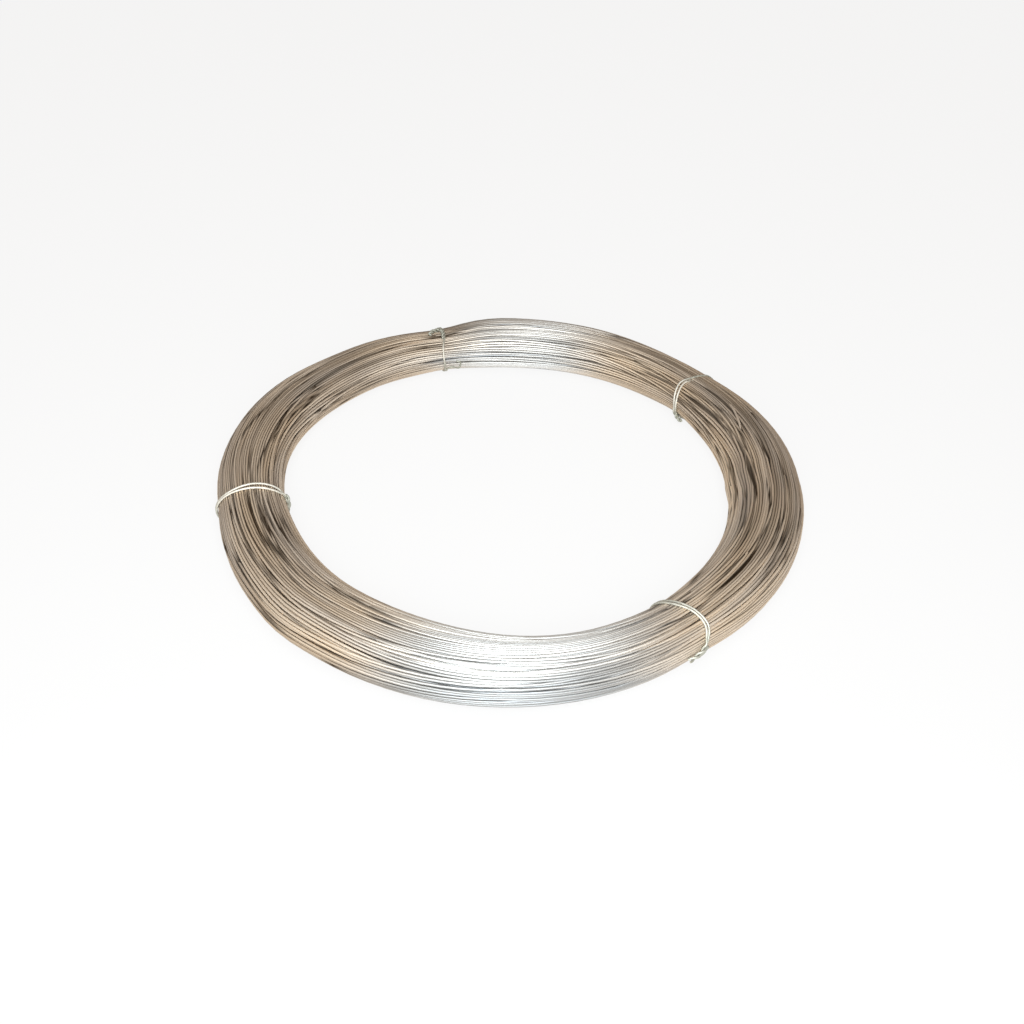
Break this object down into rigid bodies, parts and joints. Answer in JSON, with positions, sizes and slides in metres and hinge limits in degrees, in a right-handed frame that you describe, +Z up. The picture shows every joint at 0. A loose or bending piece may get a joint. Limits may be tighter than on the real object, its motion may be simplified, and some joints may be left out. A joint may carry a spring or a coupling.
{
  "type": "coil of galvanized fence wire",
  "caption": "Flat-lying coil of galvanized steel fence wire, wound into a ring round an open bore and held by ties of thinner wire with twisted ends.",
  "frame": {"origin": "on the coil's axis, at the level of the surface that the coil lies on", "axes": "+Z up along the coil's axis; +X to the right and -Y to the front, with the tie with the long pigtail at the front right"},
  "size_m": [0.5999, 0.6, 0.05],
  "materials": {
    "galvanized_wire": "dull galvanized, weathered to a warm grey",
    "tie_wire": "bright galvanized"
  },
  "bodies": {
    "root": {"wire_coil": "galvanized_wire", "tie_wire_left": "tie_wire", "tie_wire_back": "tie_wire", "tie_wire_right": "tie_wire", "tie_wire_front": "tie_wire"}
  },
  "joints": []
}
